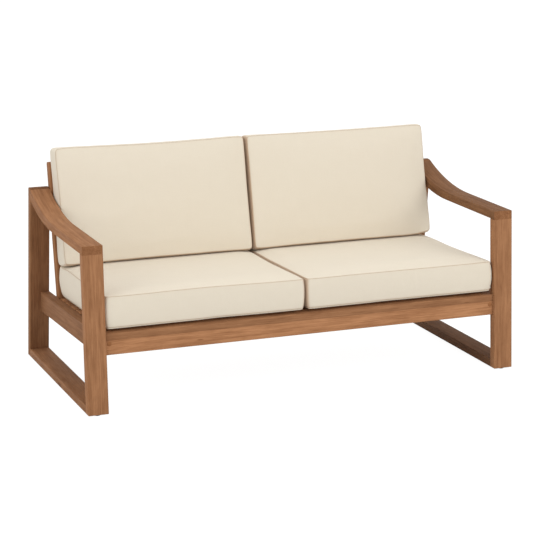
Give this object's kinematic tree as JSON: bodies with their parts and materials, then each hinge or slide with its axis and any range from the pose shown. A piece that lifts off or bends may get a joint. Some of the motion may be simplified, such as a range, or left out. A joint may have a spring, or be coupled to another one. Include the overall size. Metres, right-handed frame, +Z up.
{
  "type": "patio bench",
  "caption": "Low hardwood outdoor bench with closed sled side frames, curved arms, a raked slatted seat and back, and loose box cushions.",
  "frame": {"origin": "on the floor, under the middle of the bench", "axes": "+X to the right as seen from the front, +Y to the back, +Z up; the front faces -Y"},
  "size_m": [1.6, 0.812, 0.8091],
  "materials": {
    "hardwood": "oiled reddish-brown hardwood, satin, fine straight grain",
    "inner_wood": "the same hardwood, sawn and sanded, on hidden boards",
    "plug_wood": "round hardwood plugs, end grain, sanded flush",
    "cushion_fabric": "cream outdoor fabric, plain fine weave, matte",
    "foam": "open-cell foam block",
    "zip_tape": "woven zip tape with a small moulded slider",
    "steel": "plain zinc-plated steel, dull",
    "brass": "turned brass",
    "glide_plastic": "black moulded plastic, matte"
  },
  "bodies": {
    "frame": {"left_front_leg": "hardwood", "left_rear_leg": "hardwood", "left_arm": "hardwood", "left_sled_rail": "hardwood", "left_side_rail": "hardwood", "left_back_stile": "hardwood", "left_crest_rail": "hardwood", "right_front_leg": "hardwood", "right_rear_leg": "hardwood", "right_arm": "hardwood", "right_sled_rail": "hardwood", "right_side_rail": "hardwood", "right_back_stile": "hardwood", "right_crest_rail": "hardwood", "left_back_slat_1": "hardwood", "left_back_slat_2": "hardwood", "left_back_slat_3": "hardwood", "left_back_slat_4": "hardwood", "right_back_slat_1": "hardwood", "right_back_slat_2": "hardwood", "right_back_slat_3": "hardwood", "right_back_slat_4": "hardwood", "seat_slat_1": "hardwood", "seat_slat_2": "hardwood", "seat_slat_3": "hardwood", "seat_slat_4": "hardwood", "seat_slat_5": "hardwood", "seat_slat_6": "hardwood", "seat_slat_7": "hardwood", "seat_slat_8": "hardwood", "front_rail": "hardwood", "centre_stile": "hardwood", "left_slat_bearer": "inner_wood", "right_slat_bearer": "inner_wood", "rear_rail": "inner_wood", "centre_bearer": "inner_wood", "slat_screws": "steel", "rail_screws": "steel", "bearer_screws": "steel", "bracket_screws": "steel", "frame_bolts": "steel", "bearer_bolt": "steel", "bearer_nut": "steel", "corner_brackets": "steel", "frame_inserts": "brass", "wood_plugs": "plug_wood", "foot_glides": "glide_plastic"},
    "left_seat_cushion": {"left_seat_cover": "cushion_fabric", "left_seat_foam": "foam", "left_seat_zip": "zip_tape"},
    "left_back_cushion": {"left_back_cover": "cushion_fabric", "left_back_foam": "foam", "left_back_zip": "zip_tape"},
    "right_seat_cushion": {"right_seat_cover": "cushion_fabric", "right_seat_foam": "foam", "right_seat_zip": "zip_tape"},
    "right_back_cushion": {"right_back_cover": "cushion_fabric", "right_back_foam": "foam", "right_back_zip": "zip_tape"}
  },
  "joints": [
    {"name": "left_seat_cushion_out", "type": "slide", "parent": "frame", "child": "left_seat_cushion", "axis": [0, -0.9993, 0.0366], "range_m": [0, 0.25]},
    {"name": "left_back_cushion_off", "type": "slide", "parent": "frame", "child": "left_back_cushion", "axis": [0, 0.1805, 0.9836], "range_m": [0, 0.3]},
    {"name": "right_seat_cushion_out", "type": "slide", "parent": "frame", "child": "right_seat_cushion", "axis": [0, -0.9993, 0.0366], "range_m": [0, 0.25]},
    {"name": "right_back_cushion_off", "type": "slide", "parent": "frame", "child": "right_back_cushion", "axis": [0, 0.1805, 0.9836], "range_m": [0, 0.3]}
  ]
}
